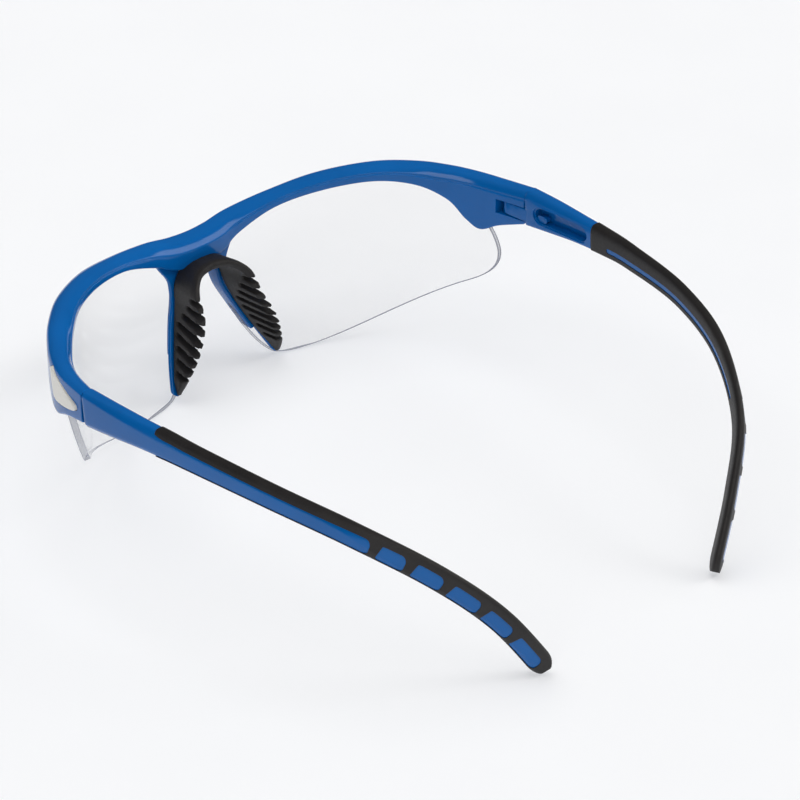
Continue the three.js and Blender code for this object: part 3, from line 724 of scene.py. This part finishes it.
def window_tool(start, end):
    """Cuts one opening in the outer side of the rubber: a leaning front end, a round rear end, and a
    thin lip left along the lower edge. The first one is open at the front and tapers into the top."""
    first = start < GRIP_START
    round_start = end - WINDOW_ROUNDING
    lengths = [start + step for step in (0, 0.15, 0.35, 0.6, 0.85, 1.2, 1.8, 2.4, 3.2)]
    lengths.extend(lengths_between(start + 4, round_start, 1.0))
    for angle in (20, 40, 55, 68, 78, 86):
        lengths.append(round_start + WINDOW_ROUNDING * math.sin(math.radians(angle)))
    sections = []
    for length in lengths:
        station = station_at(length)
        half, rise = station["thickness"] / 2, station["height"] / 2
        top = rise - WINDOW_TOP_WALL - 0.25 * smooth_step(80, 125, length)
        low = -rise + WINDOW_LIP
        into = length - start
        if first:
            top += 0.9 * max(0.0, 1 - into / 4.2) ** 2
            low -= 0.5 * max(0.0, 1 - into / 1.2)
        else:
            top -= max(0.0, 0.6 - into) * (top - low - 1.2) / 0.6 + 0.35 * max(0.0, 1 - into / 1.6) ** 2
            low += 0.5 * max(0.0, 1 - into / 0.5) ** 2
        closing = WINDOW_ROUNDING * (1 - end_rounding(length, end, WINDOW_ROUNDING, 0.01))
        top -= closing
        low += closing * 0.7
        inner = half - WINDOW_DEPTH
        corners = [(inner, low), (inner, top), (half + 1, top), (half + 1, low)]
        sections.append(on_station(station, corners))
    return loft("window", sections)


def slot_tool(size, middle_of):
    """Cuts a slot with round ends in the inner side; middle_of gives its middle at a station."""
    start, end, height, depth = size
    radius = height / 2
    stops = [start + radius * (1 - math.cos(math.radians(a))) for a in (8, 25, 45, 65, 90)]
    stops.extend(lengths_between(start + radius, end - radius, 1.0)[1:-1])
    stops.extend(end - radius * (1 - math.cos(math.radians(a))) for a in (90, 65, 45, 25, 8))
    sections = []
    for length in stops:
        station = station_at(length)
        half = station["thickness"] / 2
        near = min(length - start, end - length) / radius
        reach = math.sqrt(max(0.02, 1 - max(0.0, 1 - near) ** 2)) * radius
        middle = middle_of(station)
        corners = [(-half - 1, middle - reach), (-half - 1, middle + reach),
                   (-half + depth, middle + reach * 0.85), (-half + depth, middle - reach * 0.85)]
        sections.append(on_station(station, corners))
    return loft("slot", sections)


def hollow_middle(station):
    """Height of the hollow's middle in the temple's inner side."""
    return -0.06 * station["height"]


def boss_middle(station):
    return hollow_middle(station) - 1.0


def rubber_slot_middle(station):
    """Height of the narrow slot's middle in the rubber, level with the temple's lower edge."""
    return 1.95 - station["height"] / 2


def build_temple(name, material):
    """The hard core from the seam to the tip, with its stepped hollow, a small boss and the hinge tongue."""
    core = build_envelope(name, 0, TEMPLE_LENGTH - 0.1, 0, TIP_ROUNDING)
    combine(core, slot_tool(HOLLOW_RIM, hollow_middle))
    combine(core, slot_tool(HOLLOW, hollow_middle))
    boss = slot_tool(HOLLOW_BOSS, boss_middle)
    combine(boss, build_envelope("keep", 3, 12, 0.7), "INTERSECT")
    tongue = flat_prism("tongue", tongue_outline(), TONGUE_MIDDLE, TONGUE_HEIGHT)
    for part in (boss, tongue):
        round_edges(part, 0.25)
    return in_one_material(name, [core, boss, tongue], material)


def round_edges(obj, width):
    """Bevels the sharp edges of an object by a width in millimetres."""
    step = obj.modifiers.new("ease", "BEVEL")
    step.width = width * MM
    step.segments = 3
    step.limit_method = "ANGLE"
    step.angle_limit = math.radians(40)
    settle(obj)


def build_grip(name, material):
    """The rubber round the temple, with its windows outside and its narrow slot inside."""
    grip = build_envelope(name, GRIP_START + 0.12, TEMPLE_LENGTH + GRIP_PAST_TIP, -GRIP_PROUD, GRIP_ROUNDING)
    for start, end in window_ranges():
        combine(grip, window_tool(start, end))
    combine(grip, slot_tool(RUBBER_SLOT, rubber_slot_middle))
    shade(grip)
    grip.data.materials.clear()
    grip.data.materials.append(material)
    return grip


# ---- Nose pad ----
# From the foot of the right wing up to the middle of the bridge: x and z of the front edge against the
# arm, then x, y and z of the back edge.
PAD_ROWS = [
    [15.1, 1.6, 15.6, 34.8, 1.7],
    [13.9, 4.4, 14.5, 33.2, 4.8],
    [11.7, 8.6, 13, 31.5, 9],
    [8.9, 15, 10.9, 30.3, 15],
    [6.8, 21, 8.3, 32, 21],
    [5.8, 25.4, 7.4, 35.2, 26.4],
    [3.4, 28, 4.3, 38.4, 28.5],
    [0, 28.6, 0, 39.7, 28.8],
]
PAD_STEPS = 8                    # sections from one row to the next
PAD_THICKNESS = 2.2
PAD_VOXEL = 0.26                 # grain of the remeshed skin
BRIDGE_PAD_Y = 46.3              # front edge under the bridge
RIB_COUNT = 9
RIB_PITCH = 2.55
RIB_TOP = 27.6                   # height of the highest rib's upper side
RIB_DROP = 0.04                  # slope of the gaps, down towards the back
RIB_BACK_Y = 33.2                # gap depths count from here


def pad_sections():
    """Sections of the right half, from the foot to the middle, each from the front edge to the back."""
    at = row_reader(PAD_ROWS)
    last = len(PAD_ROWS) - 1
    up = Vector((0, 0, 1))
    sections = []
    for i in range(last * PAD_STEPS + 1):
        where = i / PAD_STEPS
        row = at(where)
        before, after = at(max(0, where - 0.1)), at(min(last, where + 0.1))
        front_side = Vector((after[1] - before[1], 0, before[0] - after[0])).normalized()
        back_side = Vector((after[4] - before[4], 0, before[2] - after[2])).normalized()
        if i == last * PAD_STEPS:
            front_side = back_side = up
        front_y = min(lens_y(row[0], row[1]) - ARM_BEHIND - 0.1, BRIDGE_PAD_Y)
        front = Vector((row[0], front_y, row[1]))
        back = Vector((row[2], row[3], row[4]))
        thick = PAD_THICKNESS * (0.55 + 0.45 * min(1.0, where))
        sections.append([tuple(point) for point in (
            front,
            front + front_side * thick,
            back.lerp(front, 0.25) + back_side * thick,
            back.lerp(front, 0.06) + back_side * thick * 0.85,
            back + back_side * thick * 0.45,
            back.lerp(front, 0.1),
        )])
    return sections


def rib_tool(i):
    """Cuts the gap under one rib: narrow and round inside, wider at the back edge."""
    z = RIB_TOP - RIB_PITCH * (i + 1)
    front = RIB_BACK_Y + max(3.6, 8.4 - 1.3 * abs(i - 3.2))
    profile = [
        (0.4, 0.0), (0.2, 0.34), (-0.5, 0.54), (-2, 0.6),
        (-5, 0.62), (-8, 0.8), (-9.5, 1.1), (-16, 1.3),
    ]
    upper = [(front + y, z + h + y * RIB_DROP) for y, h in profile]
    lower = [(front + y, z - h + y * RIB_DROP) for y, h in reversed(profile[1:])]
    return loft("rib_gap", [[(x, y, height) for y, height in upper + lower] for x in (0.5, 22)])


def build_pad(name, material):
    """A saddle over the nose with fins on both wings, softened as moulded rubber is."""
    right = pad_sections()
    left = [[(-x, y, z) for x, y, z in section] for section in right[-2::-1]]
    pad = loft(name, right + left)
    for i in range(RIB_COUNT - 1):
        tool = rib_tool(i)
        turned = mirror(tool, "turned")
        combine(pad, tool)
        combine(pad, turned)
    skin = pad.modifiers.new("skin", "REMESH")
    skin.mode = "VOXEL"
    skin.voxel_size = PAD_VOXEL * MM
    soften = pad.modifiers.new("soften", "SMOOTH")
    soften.factor = 0.5
    soften.iterations = 4
    settle(pad)
    pad.data.shade_smooth()
    pad.data.materials.clear()
    pad.data.materials.append(material)
    return pad


# ---- Materials ----
# Mould pits, paint flake, tool marks and the pin's turned skin are drawn coarser than real ones, so that
# they show.
def colour(code):
    """Linear colour from a six-digit sRGB code."""
    channels = [int(code[i:i + 2], 16) / 255 for i in (0, 2, 4)]
    return [c / 12.92 if c <= 0.04045 else ((c + 0.055) / 1.055) ** 2.4 for c in channels] + [1.0]


def node(tree, kind, inputs=None, **settings):
    """Adds a node; inputs are values or sockets to link."""
    made = tree.nodes.new(kind)
    for key, value in settings.items():
        setattr(made, key, value)
    for key, value in (inputs or {}).items():
        if isinstance(value, bpy.types.NodeSocket):
            tree.links.new(value, made.inputs[key])
        else:
            made.inputs[key].default_value = value
    return made


def new_material(name):
    material = bpy.data.materials.new(name)
    material.use_nodes = True
    material.node_tree.nodes.clear()
    return material, material.node_tree


def grain(tree, cell_mm, detail, roughness=0.5):
    """Even noise fixed to the piece, whose cells measure about cell_mm."""
    where = node(tree, "ShaderNodeTexCoord")
    return node(tree, "ShaderNodeTexNoise", {
        "Vector": where.outputs["Object"], "Scale": 1 / (cell_mm * MM),
        "Detail": detail, "Roughness": roughness,
    }).outputs["Fac"]


def patches(tree, low, high, cell_mm, detail, roughness=0.5):
    """A number that wanders from low to high over the piece, in patches of about cell_mm."""
    return node(tree, "ShaderNodeMapRange", {
        "Value": grain(tree, cell_mm, detail, roughness),
        "From Min": 0.3, "From Max": 0.7, "To Min": low, "To Max": high,
    }).outputs["Result"]


def mottled(tree, one, other, cell_mm, detail):
    """A colour that wanders between two, in patches of about cell_mm."""
    return node(tree, "ShaderNodeMix", {
        "Factor": patches(tree, 0.0, 1.0, cell_mm, detail), "A": colour(one), "B": colour(other),
    }, data_type="RGBA").outputs["Result"]


def moulded_blue_nylon():
    """Injection-moulded glossy nylon: deep royal blue under a clear gloss, with the faint waviness of a
    polished mould and a few dull handling marks."""
    material, tree = new_material("moulded_blue_nylon")
    waves = node(tree, "ShaderNodeBump", {
        "Height": grain(tree, 1.6, 1), "Distance": 0.006 * MM, "Strength": 0.5,
    })
    shader = node(tree, "ShaderNodeBsdfPrincipled", {
        "Base Color": mottled(tree, "005ba4", "0060ac", 14, 1),
        "Roughness": patches(tree, 0.09, 0.14, 5, 4, 0.65),
        "IOR": 1.5, "Specular IOR Level": 0.34,
        "Normal": waves.outputs["Normal"],
    })
    node(tree, "ShaderNodeOutputMaterial", {"Surface": shader.outputs["BSDF"]})
    return material


def moulded_black_rubber():
    """Matt thermoplastic elastomer from a spark-eroded mould: near black, soft wide highlights and a
    fine even grain."""
    material, tree = new_material("moulded_black_rubber")
    pits = node(tree, "ShaderNodeBump", {
        "Height": grain(tree, 0.16, 2, 0.6), "Distance": 0.02 * MM, "Strength": 0.6,
    })
    shader = node(tree, "ShaderNodeBsdfPrincipled", {
        "Base Color": mottled(tree, "1a1819", "211f1f", 6, 3),
        "Roughness": patches(tree, 0.5, 0.62, 0.5, 3),
        "IOR": 1.5, "Specular IOR Level": 0.45,
        "Normal": pits.outputs["Normal"],
    })
    node(tree, "ShaderNodeOutputMaterial", {"Surface": shader.outputs["BSDF"]})
    return material


def polished_polycarbonate():
    """Hard-coated clear polycarbonate: nearly all light goes straight through, and the outer sides mirror
    the room weakly, with a trace of handling haze. The IOR is low so that the mirror stays faint."""
    material, tree = new_material("polished_polycarbonate")
    through = node(tree, "ShaderNodeBsdfTransparent", {"Color": colour("fcfcfc")})
    mirror_layer = node(tree, "ShaderNodeBsdfPrincipled", {
        "Base Color": colour("f0f2f4"), "Metallic": 1.0, "Roughness": patches(tree, 0.08, 0.14, 9, 3),
    })
    rim = node(tree, "ShaderNodeFresnel", {"IOR": 1.23})
    side = node(tree, "ShaderNodeNewGeometry")
    outer = node(tree, "ShaderNodeMath", {0: 1.0, 1: side.outputs["Backfacing"]}, operation="SUBTRACT")
    share = node(tree, "ShaderNodeMath", {
        0: rim.outputs["Fac"], 1: outer.outputs["Value"],
    }, operation="MULTIPLY")
    both = node(tree, "ShaderNodeMixShader", {
        0: share.outputs["Value"], 1: through.outputs["BSDF"], 2: mirror_layer.outputs["BSDF"],
    })
    node(tree, "ShaderNodeOutputMaterial", {"Surface": both.outputs["Shader"]})
    return material


def milled_polycarbonate_edge(name, cover):
    """The lens's milled edge: clear stock seen through a fine tool finish, so it reads as grey. cover is
    how much it hides what lies behind."""
    material, tree = new_material(name)
    shader = node(tree, "ShaderNodeBsdfPrincipled", {
        "Base Color": mottled(tree, "646a80", "7a8094", 3, 2),
        "Roughness": patches(tree, 0.25, 0.4, 0.3, 2),
        "IOR": 1.58, "Alpha": cover,
    })
    node(tree, "ShaderNodeOutputMaterial", {"Surface": shader.outputs["BSDF"]})
    return material


def satin_silver_plate():
    """Silver-white paint on a plate: pale and warm, with a little metal flake, under a satin lacquer."""
    material, tree = new_material("satin_silver_plate")
    shader = node(tree, "ShaderNodeBsdfPrincipled", {
        "Base Color": mottled(tree, "d9d7cf", "e8e6e0", 0.08, 1),
        "Metallic": 0.1, "Roughness": patches(tree, 0.3, 0.4, 2, 3),
        "Coat Weight": 0.3, "Coat Roughness": 0.15,
    })
    node(tree, "ShaderNodeOutputMaterial", {"Surface": shader.outputs["BSDF"]})
    return material


def turned_steel():
    """Turned steel pin: bright bare metal, with the fine unevenness of its turned skin."""
    material, tree = new_material("turned_steel")
    shader = node(tree, "ShaderNodeBsdfPrincipled", {
        "Base Color": colour("a2a5a8"), "Metallic": 1.0, "Roughness": patches(tree, 0.22, 0.36, 0.12, 2),
    })
    node(tree, "ShaderNodeOutputMaterial", {"Surface": shader.outputs["BSDF"]})
    return material


def pale_paper_floor():
    """A seamless pale sweep that glows a little by itself, so that shadows on it stay faint."""
    material, tree = new_material("pale_paper_floor")
    shader = node(tree, "ShaderNodeBsdfPrincipled", {
        "Base Color": mottled(tree, "c3c3c3", "c5c5c5", 40, 2),
        "Roughness": 0.9, "Specular IOR Level": 0.1,
        "Emission Color": colour("f6f9ff"), "Emission Strength": 0.426,
    })
    node(tree, "ShaderNodeOutputMaterial", {"Surface": shader.outputs["BSDF"]})
    return material


# ---- The glasses ----
blue = moulded_blue_nylon()
rubber = moulded_black_rubber()
clear = polished_polycarbonate()
edge_line = milled_polycarbonate_edge("lens_edge_line", 0.75)
edge_face = milled_polycarbonate_edge("lens_edge_face", 0.5)
silver = satin_silver_plate()
steel = turned_steel()


def stand_for(piece, body, cad_node):
    """Puts a piece on its body, in place of a CAD node."""
    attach(piece, body)
    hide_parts(cad_node)


def add_pair(build, part, bodies, slot, *materials):
    """Builds the right-hand piece and its mirror image."""
    right = build(f"right_{part}_skin", *materials)
    left = mirror(right, f"left_{part}_skin")
    for piece, side, body in ((right, "right", bodies[0]), (left, "left", bodies[1])):
        stand_for(piece, body, f"{side}_{part}")


stand_for(build_front("front_frame_skin", blue), "front", "front_frame")
stand_for(build_pad("nose_pad_skin", rubber), "front", "nose_pad")
add_pair(build_lens, "lens", ("front", "front"), "lens_clear", clear, edge_line, edge_face)
add_pair(build_badge, "badge", ("front", "front"), "badge_satin", silver)
add_pair(build_temple, "temple", ("right_arm", "left_arm"), "frame_gloss", blue)
add_pair(build_grip, "temple_grip", ("right_arm", "left_arm"), "soft_black", rubber)
for pin_name in ("right_hinge_pin", "left_hinge_pin"):
    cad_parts[pin_name].data.materials.clear()
    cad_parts[pin_name].data.materials.append(steel)

# ---- Floor, light and camera ----
FLOOR_REACH = 6.0                # metres
FLOOR_BELOW = 0.0002             # metres under the lens feet, so that the faces don't coincide
SOFTBOX_GLOW = 3.0
STRIP_PLANE = (0.12, -0.85, -0.51)    # square to the softbox strip, which runs from right to rear overhead


def build_floor():
    corners = [(-1, -1), (1, -1), (1, 1), (-1, 1)]
    mesh = bpy.data.meshes.new("floor")
    mesh.from_pydata([(x * FLOOR_REACH, y * FLOOR_REACH, 0) for x, y in corners], [], [(0, 1, 2, 3)])
    mesh.materials.append(pale_paper_floor())
    floor = bpy.data.objects.new("floor", mesh)
    bpy.context.scene.collection.objects.link(floor)
    floor.location.z = -FLOOR_BELOW


def add_sun(name, towards_light, strength, spread_deg):
    """A soft distant lamp that glossy surfaces don't show."""
    data = bpy.data.lights.new(name, "SUN")
    data.energy = strength
    data.angle = math.radians(spread_deg)
    lamp = bpy.data.objects.new(name, data)
    lamp.rotation_euler = Vector(towards_light).to_track_quat("Z", "Y").to_euler()
    lamp.visible_glossy = False
    bpy.context.scene.collection.objects.link(lamp)


def build_studio():
    """A dim room with one long strip softbox overhead, which draws the bright band along the brow."""
    world = bpy.data.worlds.new("studio")
    bpy.context.scene.world = world
    world.use_nodes = True
    tree = world.node_tree
    tree.nodes.clear()
    direction = node(tree, "ShaderNodeTexCoord").outputs["Generated"]
    height = node(tree, "ShaderNodeSeparateXYZ", {"Vector": direction}).outputs["Z"]
    across = node(tree, "ShaderNodeVectorMath", {0: direction, 1: STRIP_PLANE}, operation="DOT_PRODUCT")

    def fade(value, start, end, low, high):
        return node(tree, "ShaderNodeMapRange", {
            "Value": value, "From Min": start, "From Max": end, "To Min": low, "To Max": high,
        }, interpolation_type="SMOOTHSTEP").outputs["Result"]

    near_side = fade(across.outputs["Value"], -0.08, 0.02, 0.0, 1.0)
    far_side = fade(across.outputs["Value"], 0.16, 0.26, 1.0, 0.0)
    strip = node(tree, "ShaderNodeMath", {0: near_side, 1: far_side}, operation="MULTIPLY")
    light = node(tree, "ShaderNodeMath", {
        0: strip.outputs["Value"],
        1: fade(height, 0.1, 0.3, 0.0, SOFTBOX_GLOW),
        2: fade(height, 0.0, 1.0, 0.06, 0.2),
    }, operation="MULTIPLY_ADD")
    backdrop = node(tree, "ShaderNodeBackground", {
        "Color": colour("fbf9f6"), "Strength": light.outputs["Value"],
    })
    node(tree, "ShaderNodeOutputWorld", {"Surface": backdrop.outputs["Background"]})


def build_camera():
    data = bpy.data.cameras.new("camera")
    data.lens = 154.106
    data.sensor_width = 36
    camera = bpy.data.objects.new("camera", data)
    camera.location = place([(-451.83, -524.10, 448.32)])[0]
    camera.rotation_euler = (math.radians(90 - 32.349), 0, math.radians(-42.308))
    bpy.context.scene.collection.objects.link(camera)
    bpy.context.scene.camera = camera


build_floor()
add_sun("overhead_fill", (-0.1, 0.25, 1.0), 1.35, 60)
add_sun("right_rear_fill", (0.64, -0.49, 0.555), 0.5, 20)
build_studio()
build_camera()
bpy.context.scene.view_settings.view_transform = "Standard"
